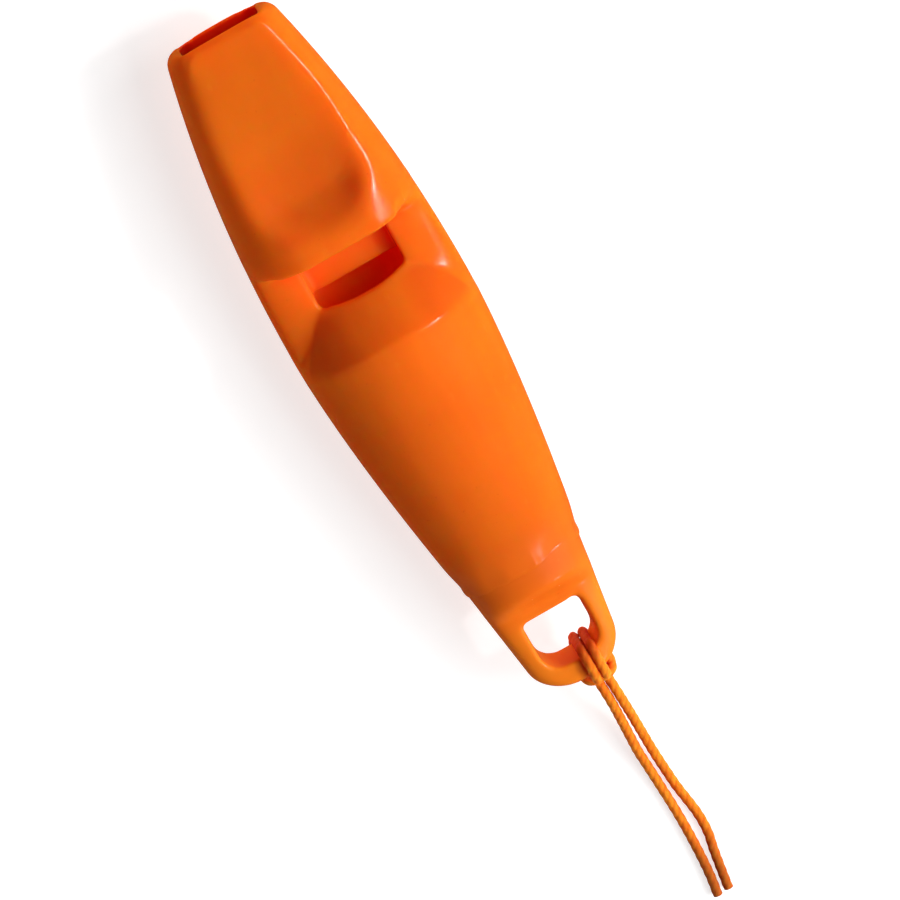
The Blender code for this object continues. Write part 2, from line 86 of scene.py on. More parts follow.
# %% Camera
CAMERA_TILT = math.radians(22)
CAMERA_ROLL = math.radians(29.81)
CAMERA_DISTANCE = 0.45
CAMERA_TARGET = Vector((0.0104, -0.00066, 0.0065))
PIXEL = 0.09705 * MM
FRAME_PIXELS = 900
SENSOR = 36.0

towards_camera = Vector((-math.sin(CAMERA_TILT), 0, math.cos(CAMERA_TILT)))
leaning_axis = Vector((math.cos(CAMERA_TILT), 0, math.sin(CAMERA_TILT)))
cross_axis = Vector((0, 1, 0))
picture_right = math.sin(CAMERA_ROLL) * leaning_axis + math.cos(CAMERA_ROLL) * cross_axis
picture_up = math.sin(CAMERA_ROLL) * cross_axis - math.cos(CAMERA_ROLL) * leaning_axis
lens = bpy.data.cameras.new("studio_camera")
lens.sensor_width = SENSOR
lens.lens = SENSOR * CAMERA_DISTANCE / (FRAME_PIXELS * PIXEL)
camera = bpy.data.objects.new("studio_camera", lens)
camera_turn = Matrix((picture_right, picture_up, towards_camera)).transposed().to_4x4()
camera.matrix_world = (
    Matrix.Translation(CAMERA_TARGET + CAMERA_DISTANCE * towards_camera) @ camera_turn
)
bpy.context.scene.collection.objects.link(camera)
bpy.context.scene.camera = camera
print(f"camera: {lens.lens:.0f} mm lens, {CAMERA_DISTANCE} m away")

# %% [markdown]
# ## Shader maths as Python
# A finish is a small program of nodes. Wiring each Math node by hand hides what it works out, so
# one class wraps a socket: sums and products of wrapped sockets add the Math nodes, and one method
# adds any other node. A mask is a number from 0 to 1, and most masks here are soft ramps along an
# axis.


# %% Shader helper
class Wire:
    """An output socket of a material's nodes that takes part in Python expressions."""

    def __init__(self, tree, socket):
        self.tree = tree
        self.socket = socket

    def node(self, kind, settings, sockets, output=0):
        """Adds a node: its settings first, then the values or links of its sockets."""
        made = self.tree.nodes.new(kind)
        for name, value in settings.items():
            setattr(made, name, value)
        for key, value in sockets.items():
            if isinstance(value, Wire):
                self.tree.links.new(value.socket, made.inputs[key])
            else:
                made.inputs[key].default_value = value
        return Wire(self.tree, made.outputs[output])

    def math(self, operation, first, second=0.0):
        return self.node("ShaderNodeMath", {"operation": operation}, {0: first, 1: second})

    def __add__(self, other):
        return self.math("ADD", self, other)

    def __sub__(self, other):
        return self.math("SUBTRACT", self, other)

    def __rsub__(self, other):
        return self.math("SUBTRACT", other, self)

    def __mul__(self, other):
        return self.math("MULTIPLY", self, other)

    __radd__ = __add__
    __rmul__ = __mul__

    def parts(self):
        """The three numbers of this vector."""
        split = self.node("ShaderNodeSeparateXYZ", {}, {0: self}).socket.node
        return [Wire(self.tree, output) for output in split.outputs]

    def ramp(self, start, end):
        """0 up to start, 1 from end on and a soft S between them."""
        settings = {"interpolation_type": "SMOOTHSTEP"}
        return self.node("ShaderNodeMapRange", settings, {0: self, 1: start, 2: end})

    def band(self, rise, fall):
        """1 between two soft edges, each given as its start and end."""
        return self.ramp(*rise) * (1 - self.ramp(*fall))

    def mix(self, first, second):
        """The first colour where this is 0 and the second where it is 1."""
        settings = {"data_type": "RGBA"}
        return self.node("ShaderNodeMix", settings, {0: self, 6: first, 7: second}, output=2)

    def noise(self, size, detail=2.0, stretch=(1.0, 1.0, 1.0)):
        """Soft clouds on this vector, a size across, from about 0.3 to 0.7."""
        scaled = self.node("ShaderNodeMapping", {}, {0: self, "Scale": stretch})
        sockets = {0: scaled, "Scale": 1 / size, "Detail": detail}
        return scaled.node("ShaderNodeTexNoise", {}, sockets)

    def open_sky(self, reach, **settings):
        """1 where nothing stands within reach of the surface, and less in a recess."""
        kind = "ShaderNodeAmbientOcclusion"
        return self.node(kind, {"samples": 8, **settings}, {"Distance": reach}, output="AO")

    def bump(self, height, strength, below=None):
        """A normal that this height pushes about, over another normal if one is given."""
        sockets = {"Height": self, "Distance": height, "Strength": strength}
        if below:
            sockets["Normal"] = below
        return self.node("ShaderNodeBump", {}, sockets)


def new_finish(name):
    """A material, its Principled shader and the Object coordinates to start from."""
    material = bpy.data.materials.new(name)
    material.use_nodes = True
    tree = material.node_tree
    place = Wire(tree, tree.nodes.new("ShaderNodeTexCoord").outputs["Object"])
    return material, tree.nodes["Principled BSDF"], place


def feed(shader, **sockets):
    """Links or sets the shader's sockets, named with _ for a space."""
    for key, value in sockets.items():
        target = shader.inputs[key.replace("_", " ")]
        if isinstance(value, Wire):
            value.tree.links.new(value.socket, target)
        else:
            target.default_value = value


# %% [markdown]
# ## Cord finish
# The cord is thin orange twine: plies that wind round each other, each a bundle of fine fibres. The
# tube below carries a UV map with the turn round the cord in U and the distance along it, in cord
# diameters, in V, so a mask in U minus a share of V winds round with the plies. V also finds the
# stretch inside the eye, painted deep red as shade, and the browner free end, whichever way the
# cord is bent.

# %% Cord finish
CORD = 1.0 * MM
PLIES = 3
TWIST_PITCH = 3.2
FIBRES = 27
FIBRE_WANDER = 6.0
WANDER_SIZE = 0.5 * MM
PATCH_SIZE = 1.3 * MM
FUZZ_SIZE = 0.15 * MM
TWINE_BRIGHT = (0.98, 0.290, 0.016, 1)
TWINE_DULL = (0.90, 0.205, 0.012, 1)
TWINE_SHADED = (0.60, 0.040, 0.006, 1)
TWINE_EYE_SHADE = (0.55, 0.035, 0.008, 1)
TWINE_BROWN_END = (0.38, 0.085, 0.012, 1)
TWINE_GROOVE_SHADE = (0.55, 0.07, 0.004, 1)
SHADE_REACH = 2.5 * MM
SHADE_SHARE = 0.8
GROOVE_SHADE_SHARE = 0.35
# Places along the cord, in its diameters.
EYE_ENTRY = (4.0, 6.0)
EYE_EXIT = (11.0, 13.5)
EYE_SHADE_SHARE = 0.75
BROWN_END_PLACES = (40.0, 50.0)
BROWN_END_SHARE = 0.8

cord_finish, shader, place = new_finish("cord_twine")
turn, along, _ = place.node("ShaderNodeUVMap", {"uv_map": "cord_map"}, {}).parts()
winding = turn - along * (1 / TWIST_PITCH)
groove = winding.math("COSINE", winding * (2 * math.pi * PLIES)) * -0.5 + 0.5
wander = place.noise(WANDER_SIZE) * FIBRE_WANDER
fibre = winding.math("SINE", winding * (2 * math.pi * FIBRES) + wander)
patches = place.noise(PATCH_SIZE, 3.0).ramp(0.35, 0.65)
shaded = 1 - place.open_sky(SHADE_REACH).ramp(0.25, 0.9)
colour = patches.mix(TWINE_BRIGHT, TWINE_DULL)
colour = (shaded * SHADE_SHARE).mix(colour, TWINE_SHADED)
# Painted shade: the twine inside the eye, where the bar shades it, is painted deep red.
colour = (along.band(EYE_ENTRY, EYE_EXIT) * EYE_SHADE_SHARE).mix(colour, TWINE_EYE_SHADE)
# The free end is painted browner towards its tip.
colour = (along.ramp(*BROWN_END_PLACES) * BROWN_END_SHARE).mix(colour, TWINE_BROWN_END)
# Painted shade: the grooves between the plies are painted darker.
colour = (groove.ramp(0.5, 1.0) * GROOVE_SHADE_SHARE).mix(colour, TWINE_GROOVE_SHADE)
feed(
    shader,
    Base_Color=colour,
    Roughness=0.66 + patches * 0.12,
    Normal=(fibre * 0.4 + place.noise(FUZZ_SIZE)).bump(0.02 * MM, 0.5),
    Specular_IOR_Level=0.15,
    Subsurface_Weight=0.4,
    Subsurface_Radius=(1.0, 0.2, 0.04),
    Subsurface_Scale=0.6 * MM,
)
print("finish:", cord_finish.name)

# %% [markdown]
# ## Cord route
# One length of twine is tied to the eye by a lark's head: its middle is a band across the outside
# of the eye's bar, from there each half goes under the bar, up through the eye and back over the
# bar, and leaves below the band. Pulled tight, it lies close on the bar. The route is a smooth
# curve through listed points, as in the solids, but drawn tighter. Points at even steps on it
# keep the rings of the tube alike.

# %% Smooth route
CURVE_PIECES = 24


def smooth_route(points, step):
    """Points about a step apart on a smooth curve through the given points."""
    points = [Vector(point) for point in points]
    padded = [points[0], *points, points[-1]]
    fine = []
    # Handles of a sixth between a point's two neighbours make the curve pass smoothly through it.
    for index in range(len(points) - 1):
        before, start, end, after = padded[index : index + 4]
        out_of_start = start + (end - before) / 6
        into_end = end - (after - start) / 6
        fine += interpolate_bezier(start, out_of_start, into_end, end, CURVE_PIECES)[:-1]
    fine.append(points[-1])
    lengths = [0.0]
    for start, end in zip(fine, fine[1:]):
        lengths.append(lengths[-1] + (end - start).length)
    count = max(2, round(lengths[-1] / step))
    route = []
    index = 0
    for number in range(count + 1):
        wanted = lengths[-1] * number / count
        while index < len(fine) - 2 and lengths[index + 1] < wanted:
            index += 1
        span = lengths[index + 1] - lengths[index]
        route.append(fine[index].lerp(fine[index + 1], (wanted - lengths[index]) / span))
    return route


# %% Hitch on the eye
cap_low, cap_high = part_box("tail_cap")
MIDLINE = (cap_low.z + cap_high.z) / 2
EYE_END = cap_high.x
EYE_BAR = 2.65 * MM
EYE_THICKNESS = 4.4 * MM
HITCH_SIDE = 1.25 * MM
CORD_EXIT_DROP = 2.6 * MM
NESTLE = 0.03 * MM
STRAND_GAP = 0.03 * MM
BAND_OUT = 2.05 * MM


def hitch_points(side):
    """From the middle of the band, under the bar, up through the eye and over it to the exit."""
    stand_off = CORD / 2 + NESTLE
    over = MIDLINE + EYE_THICKNESS / 2 + stand_off
    under = MIDLINE - EYE_THICKNESS / 2 - stand_off
    in_eye = EYE_END - EYE_BAR - stand_off
    past_eye = EYE_END + stand_off
    bar_middle = EYE_END - EYE_BAR / 2
    leg = HITCH_SIDE + side * (CORD + STRAND_GAP) / 2
    wide = leg + side * (CORD + STRAND_GAP)
    band_x = EYE_END + BAND_OUT
    exit_z = MIDLINE - CORD_EXIT_DROP
    band_z = exit_z + CORD + STRAND_GAP
    return [
        (band_x, HITCH_SIDE, band_z),
        (band_x, leg, band_z),
        (band_x - 0.1 * CORD, wide - side * 0.35 * CORD, band_z - 0.3 * CORD),
        (band_x - 0.6 * CORD, wide, band_z - 0.8 * CORD),
        (past_eye, wide, under + 0.4 * CORD),
        (EYE_END - 0.4 * CORD, wide - side * 0.3 * CORD, under),
        (bar_middle, (leg + wide) / 2, under),
        (EYE_END - EYE_BAR + 0.3 * CORD, leg + side * 0.2 * CORD, under),
        (in_eye, leg, under + 0.8 * CORD),
        (in_eye, leg, MIDLINE - 0.8 * CORD),
        (in_eye, leg, MIDLINE + 0.8 * CORD),
        (in_eye, leg, over - 0.8 * CORD),
        (EYE_END - EYE_BAR + 0.3 * CORD, leg, over),
        (bar_middle + 0.3 * CORD, leg, over),
        (past_eye - 0.4 * CORD, leg, over - 0.5 * CORD),
        (past_eye, leg, over - 1.5 * CORD),
        (past_eye, leg, MIDLINE - 0.2 * CORD),
        (past_eye + 0.15 * CORD, leg, exit_z + 0.9 * CORD),
        (past_eye + 0.8 * CORD, leg, exit_z + 0.1 * CORD),
        (past_eye + 2.2 * CORD, leg, exit_z),
    ]


print(f"eye: bar from {(EYE_END - EYE_BAR) / MM:.1f} to {EYE_END / MM:.1f} mm")

# %% Free ends
# In mm: x past the root, y, and the height of the cord's middle.
TAIL_ROOT = EYE_END + 4.55 * MM
LEFT_END = (
    (1.0, 0.83, 4.0),
    (4.6, 0.78, 2.60),
    (8.2, 0.70, 1.60),
    (10.0, 0.77, 1.13),
    (13.5, 0.93, 0.66),
    (16.8, 1.06, 0.55),
    (20.0, 1.07, 0.55),
    (23.1, 0.97, 0.55),
    (25.5, 0.80, 0.55),
    (27.7, 0.52, 0.55),
)
RIGHT_END = (
    (1.0, 1.88, 4.0),
    (4.6, 1.97, 2.60),
    (9.2, 2.05, 1.30),
    (12.7, 2.23, 0.76),
    (14.5, 2.36, 0.57),
    (16.2, 2.59, 0.55),
    (18.0, 2.82, 0.55),
    (19.6, 2.88, 0.55),
    (21.1, 2.79, 0.55),
    (22.5, 2.53, 0.55),
    (24.0, 2.30, 0.55),
    (27.6, 1.83, 0.55),
)
ROUTE_STEP = 0.2 * MM


def cord_route(side, free_end):
    placed = [(TAIL_ROOT + x * MM, y * MM, z * MM) for x, y, z in free_end]
    return smooth_route([*hitch_points(side), *placed], ROUTE_STEP)


print(f"free ends: from {TAIL_ROOT / MM:.1f} mm on")

# %% [markdown]
# ## Cord mesh
# A curve with a round bevel would give a smooth wire. Twine shows its plies, so each ring of the
# tube is a circle drawn out into lobes, and the lobes turn a little from ring to ring. The rings
# are carried along the route without twisting, so neighbours bridge into straight quads.

# %% Cord rings
CORD_SIDES = 30
PLY_DEPTH = 0.045


def carried_squares(route):
    """Two directions across the route at each of its points, carried along without twisting."""
    ends = zip([route[0], *route[:-1]], [*route[1:], route[-1]])
    tangents = [(after - before).normalized() for before, after in ends]
    side = Vector((0, 0, 1))
    squares = []
    for before, tangent in zip([tangents[0], *tangents], tangents):
        side = before.rotation_difference(tangent) @ side
        side = (side - tangent * side.dot(tangent)).normalized()
        squares.append((side, tangent.cross(side)))
    return squares


def add_cord_ring(bm, place, square, distance, layers):
    """One lobed ring of the cord, with its turn and its distance kept for the UV map."""
    verts = bmesh.ops.create_circle(bm, segments=CORD_SIDES, radius=CORD / 2)["verts"]
    for vert in verts:
        angle = math.atan2(vert.co.y, vert.co.x)
        winding = angle - 2 * math.pi * distance / TWIST_PITCH
        swell = 1 + PLY_DEPTH * math.cos(PLIES * winding)
        vert[layers[0]] = angle / (2 * math.pi)
        vert[layers[1]] = distance
        vert.co = place + swell * (square[0] * vert.co.x + square[1] * vert.co.y)
    return list({edge for vert in verts for edge in vert.link_edges})


# %% Cord tube
def map_cord(bm, layers):
    """Unrolls the tube into its UV map; a face over the seam goes on past 1."""
    cord_map = bm.loops.layers.uv.new("cord_map")
    for face in bm.faces:
        turns = [loop.vert[layers[0]] for loop in face.loops]
        over_seam = max(turns) - min(turns) > 0.5
        for loop, turn in zip(face.loops, turns):
            loop[cord_map].uv = (turn + (over_seam and turn < 0), loop.vert[layers[1]])


def make_cord(name, route):
    bm = bmesh.new()
    layers = [bm.verts.layers.float.new(key) for key in ("cord_turn", "cord_distance")]
    rings = []
    distance = 0.0
    previous = route[0]
    for place, square in zip(route, carried_squares(route)):
        distance += (place - previous).length / CORD
        previous = place
        rings.append(add_cord_ring(bm, place, square, distance, layers))
    for ring, following in zip(rings, rings[1:]):
        bmesh.ops.bridge_loops(bm, edges=ring + following)
    for end in (rings[0], rings[-1]):
        bmesh.ops.contextual_create(bm, geom=end)
    bmesh.ops.recalc_face_normals(bm, faces=bm.faces)
    map_cord(bm, layers)
    mesh = bpy.data.meshes.new(name)
    bm.to_mesh(mesh)
    bm.free()
    mesh.shade_smooth()
    mesh.materials.append(cord_finish)
    cord = bpy.data.objects.new(name, mesh)
    bpy.context.scene.collection.objects.link(cord)
    return cord


# %% [markdown]
# ## Tying the cord on
# The two halves of the twine meet in the middle of the band. Each half is built as its own tube
# and takes the place of the cord's solids, which are hidden.


def tie_half(name, side, free_end, body, *nodes):
    route = cord_route(side, free_end)
    length = sum((end - start).length for start, end in zip(route, route[1:]))
    cord = make_cord(name, route)
    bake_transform(cord)
    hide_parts(*nodes)
    print(f"{name}: {length / MM:.1f} mm, {len(cord.data.polygons)} faces")


tie_half("cord_left_half", -1, LEFT_END, "left_tail", "lanyard_tail_left", "lanyard_hitch")
tie_half("cord_right_half", 1, RIGHT_END, "right_tail", "lanyard_tail_right", "lanyard_hitch")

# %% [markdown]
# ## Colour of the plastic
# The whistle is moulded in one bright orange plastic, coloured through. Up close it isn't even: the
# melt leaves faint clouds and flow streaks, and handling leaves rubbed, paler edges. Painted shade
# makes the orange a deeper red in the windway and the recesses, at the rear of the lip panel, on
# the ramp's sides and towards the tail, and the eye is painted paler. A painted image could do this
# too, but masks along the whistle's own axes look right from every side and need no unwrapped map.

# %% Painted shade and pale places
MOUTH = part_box("whistle_body")[0].x
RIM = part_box("whistle_body")[1].x
PANEL_REAR = ((MOUTH + 10.5 * MM, MOUTH + 16.0 * MM), (MOUTH + 20.0 * MM, MOUTH + 22.0 * MM))
PANEL_HEIGHT = (9.0 * MM, 10.0 * MM)
PANEL_HALF = (4.5 * MM, 6.0 * MM)
RAMP_FACE = ((MOUTH + 28.8 * MM, MOUTH + 29.8 * MM), (MOUTH + 33.4 * MM, MOUTH + 35.0 * MM))
RAMP_HEIGHT = (8.6 * MM, 9.0 * MM)
RAMP_SIDE = (2.5 * MM, 5.0 * MM)
REAR_DEEPENS = (MOUTH + 36.0 * MM, MOUTH + 44.0 * MM)
TAIL_DEEPENS = (RIM - 8.0 * MM, RIM - 2.0 * MM)
TAIL_CLEARS = (RIM, RIM + 2.5 * MM)
EYE_PALES = (RIM + 3.5 * MM, RIM + 6.5 * MM)
WINDWAY_LENGTH = ((MOUTH + 0.15 * MM, MOUTH + 0.5 * MM), (MOUTH + 22.0 * MM, MOUTH + 23.0 * MM))
WINDWAY_HEIGHT = ((5.4 * MM, 5.6 * MM), (8.4 * MM, 8.8 * MM))
WINDWAY_HALF = (4.2 * MM, 4.5 * MM)
PANEL_SHADE_SHARE = 0.3
RAMP_SHADE_SHARE = 0.4
REAR_SHADE_SHARE = 0.12
TAIL_SHADE_SHARE = 0.15


def painted_shade_places(along, across, height):
    """Painted shade: the panel's rear, the ramp's sides and towards the tail."""
    panel_rear = along.band(*PANEL_REAR) * height.ramp(*PANEL_HEIGHT)
    panel_rear = panel_rear * (1 - across.ramp(*PANEL_HALF))
    ramp_side = along.band(*RAMP_FACE) * height.ramp(*RAMP_HEIGHT) * across.ramp(*RAMP_SIDE)
    rear = along.ramp(*REAR_DEEPENS) * REAR_SHADE_SHARE + along.ramp(*TAIL_DEEPENS) * TAIL_SHADE_SHARE
    rear = rear * (1 - along.ramp(*TAIL_CLEARS))
    return panel_rear * PANEL_SHADE_SHARE + ramp_side * RAMP_SHADE_SHARE + rear


def inside_windway(along, across, height):
    """1 in the breath's passage from the slot to the window."""
    windway = along.band(*WINDWAY_LENGTH) * height.band(*WINDWAY_HEIGHT)
    return windway * (1 - across.ramp(*WINDWAY_HALF))


print(f"body: from {MOUTH / MM:.1f} mm at the mouth to {RIM / MM:.1f} mm at the rim")

# %% Plastic colour
ORANGE = (0.88, 0.178, 0.010, 1)
ORANGE_CLOUD = (0.86, 0.158, 0.009, 1)
ORANGE_WORN = (0.90, 0.215, 0.016, 1)
ORANGE_SPECK = (0.55, 0.06, 0.004, 1)
ORANGE_RECESS_SHADE = (0.96, 0.060, 0.012, 1)
ORANGE_PAINTED_SHADE = (0.62, 0.070, 0.008, 1)
EYE_PALER = (0.97, 0.270, 0.016, 1)
WINDWAY_SHADE_RED = (0.40, 0.030, 0.006, 1)
ORANGE_PAINTED_GLOW = (1.0, 0.02, 0.0, 1)
NO_GLOW = (0, 0, 0, 1)
RECESS_REACH = 5.0 * MM
STREAK_SIZE = 1.6 * MM
SPECK_SIZE = 0.45 * MM
LONG_STREAKS = (0.12, 1, 1)
WORN_SHARE = 0.25
SPECK_SHARE = 0.2
RECESS_SHADE_SHARE = 0.8
EYE_PALER_SHARE = 0.55


def plastic_colour(place, clouds, rubbed):
    """The plastic's colour with its painted shade, and the colour of its faint painted glow."""
    along, sideways, height = place.parts()
    across = sideways.math("ABSOLUTE", sideways)
    flow = place.noise(STREAK_SIZE, 2.0, stretch=LONG_STREAKS).ramp(0.35, 0.65)
    specks = place.noise(SPECK_SIZE, 1.0).ramp(0.75, 0.80)
    recess = 1 - place.open_sky(RECESS_REACH, only_local=True).ramp(0.35, 1.0)
    windway = inside_windway(along, across, height)
    colour = (clouds * 0.7 + flow * 0.3).mix(ORANGE, ORANGE_CLOUD)
    colour = (rubbed * WORN_SHARE).mix(colour, ORANGE_WORN)
    colour = (specks * SPECK_SHARE).mix(colour, ORANGE_SPECK)
    # Painted shade: recesses are painted a deeper red.
    colour = (recess * RECESS_SHADE_SHARE).mix(colour, ORANGE_RECESS_SHADE)
    # Painted shade: the panel's rear, the ramp's sides and the rear body are painted deeper.
    colour = painted_shade_places(along, across, height).mix(colour, ORANGE_PAINTED_SHADE)
    # The eye is painted paler.
    eye = along.ramp(*EYE_PALES) * (1 - recess)
    colour = (eye * EYE_PALER_SHARE).mix(colour, EYE_PALER)
    # Painted shade: the windway is painted dark red, and gets no painted glow.
    return windway.mix(colour, WINDWAY_SHADE_RED), windway.mix(ORANGE_PAINTED_GLOW, NO_GLOW)


# %% [markdown]
# ## Surface of the plastic
# The surface is glossy, with a slight orange peel and fine scratches along the whistle. Light goes
# a few millimetres into such plastic and red goes furthest, which Subsurface does, and a faint red
# glow is painted light that lifts the shaded sides. In the thin, plugged wall at the weld the
# scattered light would get lost and leave a dark band, so a Mix Shader goes over to a shader with
# no scattering.

# %% Plastic surface
WELD_FADE = (RIM - 6.0 * MM, RIM - 1.8 * MM)
WELD_SHARE = 0.85
# Strength of the faint painted glow that lifts the shaded sides.
GLOW = 0.04
CLOUD_SIZE = 7.0 * MM
RUB_SIZE = 1.2 * MM
SCRATCH_SIZE = 0.25 * MM
PEEL_SIZE = 1.4 * MM
LONG_SCRATCHES = (0.05, 1, 1)
GLOSS = 0.19
DULLING = 0.04


def moulded_plastic(name):
    """The whole finish, with one shader for the body and a dense one at the weld."""
    material, shader, place = new_finish(name)
    tree = material.node_tree
    clouds = place.noise(CLOUD_SIZE, 3.0).ramp(0.3, 0.7)
    pointed = place.node("ShaderNodeNewGeometry", {}, {}, output="Pointiness")
    rubbed = pointed.ramp(0.53, 0.60) * place.noise(RUB_SIZE, 3.0).ramp(0.35, 0.6)
    scratches = place.noise(SCRATCH_SIZE, 1.0, stretch=LONG_SCRATCHES).ramp(0.66, 0.74)
    colour, glow = plastic_colour(place, clouds, rubbed)
    peel = place.noise(PEEL_SIZE, 2.0).bump(0.02 * MM, 0.2)
    sockets = {
        "Base_Color": colour,
        "Roughness": GLOSS + (clouds + scratches + rubbed) * DULLING,
        "Normal": (scratches * -1.0).bump(0.01 * MM, 0.12, below=peel),
        "Specular_IOR_Level": 0.25,
        # Painted light: a faint red glow of the plastic.
        "Emission_Color": glow,
        "Emission_Strength": GLOW,
    }
    dense = tree.nodes.new("ShaderNodeBsdfPrincipled")
    feed(dense, **sockets)
    feed(shader, **sockets)
    feed(
        shader,
        Subsurface_Weight=1.0,
        Subsurface_Radius=(1.0, 0.16, 0.03),
        Subsurface_Scale=3.5 * MM,
    )
    weld = place.parts()[0].ramp(*WELD_FADE) * WELD_SHARE
    shaders = {0: weld, 1: Wire(tree, shader.outputs[0]), 2: Wire(tree, dense.outputs[0])}
    surface = weld.node("ShaderNodeMixShader", {}, shaders)
    tree.links.new(surface.socket, tree.nodes["Material Output"].inputs["Surface"])
    return material


body_finish = moulded_plastic("whistle_plastic")
cap_finish = moulded_plastic("tail_plastic")
print("finishes:", body_finish.name, cap_finish.name)

# %% [markdown]
# ## Soft edges for a moulding
# Every edge of a moulding is rounded: the mould is cut with round tools and the melt never fills a
# sharp corner. A Bevel modifier can't follow the many small faces that the cuts leave, so a copy of
# the solid is remeshed into even voxels and then smoothed, which rounds all its edges alike. At the
# end the flat parts, which need few faces, are thinned.

# %% Even voxels
DOUBLES = 0.001 * MM


def realise(piece):
    """Makes a piece's modifiers part of its mesh."""
    evaluated = piece.evaluated_get(bpy.context.evaluated_depsgraph_get())
    mesh = bpy.data.meshes.new_from_object(evaluated)
    piece.modifiers.clear()
    piece.data = mesh


def even_copy(name, node, voxel, reshape=None):
    """A copy of a solid of the frame in even voxels, reshaped before that if asked."""
    bm = bmesh.new()
    bm.from_mesh(frame["nodes"][node].data)
    bmesh.ops.remove_doubles(bm, verts=bm.verts, dist=DOUBLES)
    if reshape:
        reshape(bm)
    mesh = bpy.data.meshes.new(name)
    bm.to_mesh(mesh)
    bm.free()
    piece = bpy.data.objects.new(name, mesh)
    bpy.context.scene.collection.objects.link(piece)
    even = piece.modifiers.new("even faces", "REMESH")
    even.mode = "VOXEL"
    even.voxel_size = voxel
    realise(piece)
    return piece


# %% Smoothing and thinning
def soften(piece, rounds, where=None):
    """Smooths a piece for some rounds, all over or by a share from 0 to 1 for each vertex."""
    smoother = piece.modifiers.new("soft edges", "SMOOTH")
    smoother.factor = 0.5
    smoother.iterations = rounds
    if where:
        group = piece.vertex_groups.new(name="soft")
        for vert in piece.data.vertices:
            group.add([vert.index], where(vert.co), "REPLACE")
        smoother.vertex_group = group.name
    realise(piece)
    piece.vertex_groups.clear()


def finish_moulding(piece, node, finish, triangles):
    """Thins a moulding down to a count of triangles, and puts it in the node's place."""
    thin = piece.modifiers.new("fewer faces", "DECIMATE")
    thin.ratio = min(1.0, triangles / (2 * len(piece.data.polygons)))
    realise(piece)
    piece.data.shade_smooth()
    piece.data.materials.clear()
    piece.data.materials.append(finish)
    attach(piece, "whistle")
    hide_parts(node)
    print(f"{piece.name}: {len(piece.data.polygons)} faces")


# %% [markdown]
# ## Where the body is softer
# Some edges of the body have a larger radius than the rest, most of all on the lip panel and at
# the outer edges of the notch. Choosing those edges one by one would be lost at the next change of
# the mesh, so a box with a soft border marks each place, with its share of the extra smoothing.


# %% Soft places
def smooth_step(value, start, end):
    """0 before start, 1 after end and a soft S between them."""
    share = min(1.0, max(0.0, (value - start) / (end - start)))
    return share * share * (3 - 2 * share)


def inside(place, low, high, fade):
    """1 inside a box, given in mm, and down to 0 at a fade outside it."""
    share = 1.0
    for value, start, end in zip(place, low, high):
        share *= smooth_step(value / MM, start - fade, start)
        share *= 1 - smooth_step(value / MM, end, end + fade)
    return share


# Lowest and highest corner in mm, the border in mm, and the share of: the panel's left edge and its
# rear end, the ridge and its rear end, the notch's outer edges on the right and on the left, the
# top before the weld, and the window's left edge.
SOFT_PLACES = (
    ((-35.0, -9.0, 8.0), (-16.5, -1.5, 13.0), 1.6, 1.0),
    ((-23.0, -6.0, 9.0), (-17.5, 3.0, 13.0), 1.2, 0.35),
    ((-36.0, 3.0, 8.5), (-25.0, 7.5, 13.0), 1.5, 0.10),
    ((-23.5, 2.5, 9.0), (-17.4, 7.0, 13.0), 1.5, 0.6),
    ((-15.5, 6.8, 7.0), (-4.0, 10.0, 13.0), 1.0, 1.0),
    ((-15.5, -10.0, 7.0), (-7.0, -7.4, 13.0), 1.0, 0.5),
    ((20.5, -5.5, 9.0), (25.0, 5.5, 13.0), 1.0, 0.35),
    ((-14.6, -5.3, 6.0), (-9.4, -4.2, 9.4), 0.5, 0.12),
)


def softness(place):
    return max(share * inside(place, low, high, fade) for low, high, fade, share in SOFT_PLACES)


print("soft places:", len(SOFT_PLACES))

# %% [markdown]
# ## Shifts of the surface
# Before it is smoothed, the even mesh takes small shifts up and down, all under a millimetre, that
# bring its form closer to the photograph: the curved step behind the lip panel stands further back,
# the slot's upper lip thins out at the mouth, and the notch and the rear body are rounder across.
# Each is a function of the place, which is easier to tune than moving single vertices.

# %% Step behind the panel
# Mm along the body from the mouth, and mm deeper.
STEP_BACK = (
    (17.0, 0.0),
    (18.0, 0.34),
    (19.0, 0.62),
    (20.0, 0.76),
    (20.6, 0.48),
    (21.2, 0.18),
    (22.0, 0.0),
)
STEP_CURVE = 0.075
PANEL_ROOF = 9.2 * MM
PANEL_SIDE = (2.6 * MM, 4.7 * MM)


def step_drop(place):
    """How far a point sinks where the step behind the panel is moved back."""
    along = (place.x - MOUTH) / MM + STEP_CURVE * (place.y / MM) ** 2
    if place.z < PANEL_ROOF or not STEP_BACK[0][0] < along < STEP_BACK[-1][0]:
        return 0.0
    for (start, depth), (end, next_depth) in zip(STEP_BACK, STEP_BACK[1:]):
        if along <= end:
            depth += (next_depth - depth) * (along - start) / (end - start)
            break
    return depth * MM * (1 - smooth_step(abs(place.y), *PANEL_SIDE))


print("step: up to", max(depth for _, depth in STEP_BACK), "mm deeper")

# %% Slot and notch
SLOT_LEAD = 0.7 * MM
SLOT_REACH = 2.5 * MM
SLOT_HALF = (4.2 * MM, 4.9 * MM)
SLOT_HEIGHTS = (7.0 * MM, 8.4 * MM, 9.8 * MM)
SHELF_CROWN = 32.0
SHELF_FLAT = 4.8 * MM
SHELF_ZONE = ((-14.5, -10.0, 8.3), (-4.5, 10.0, 12.5), 1.2)


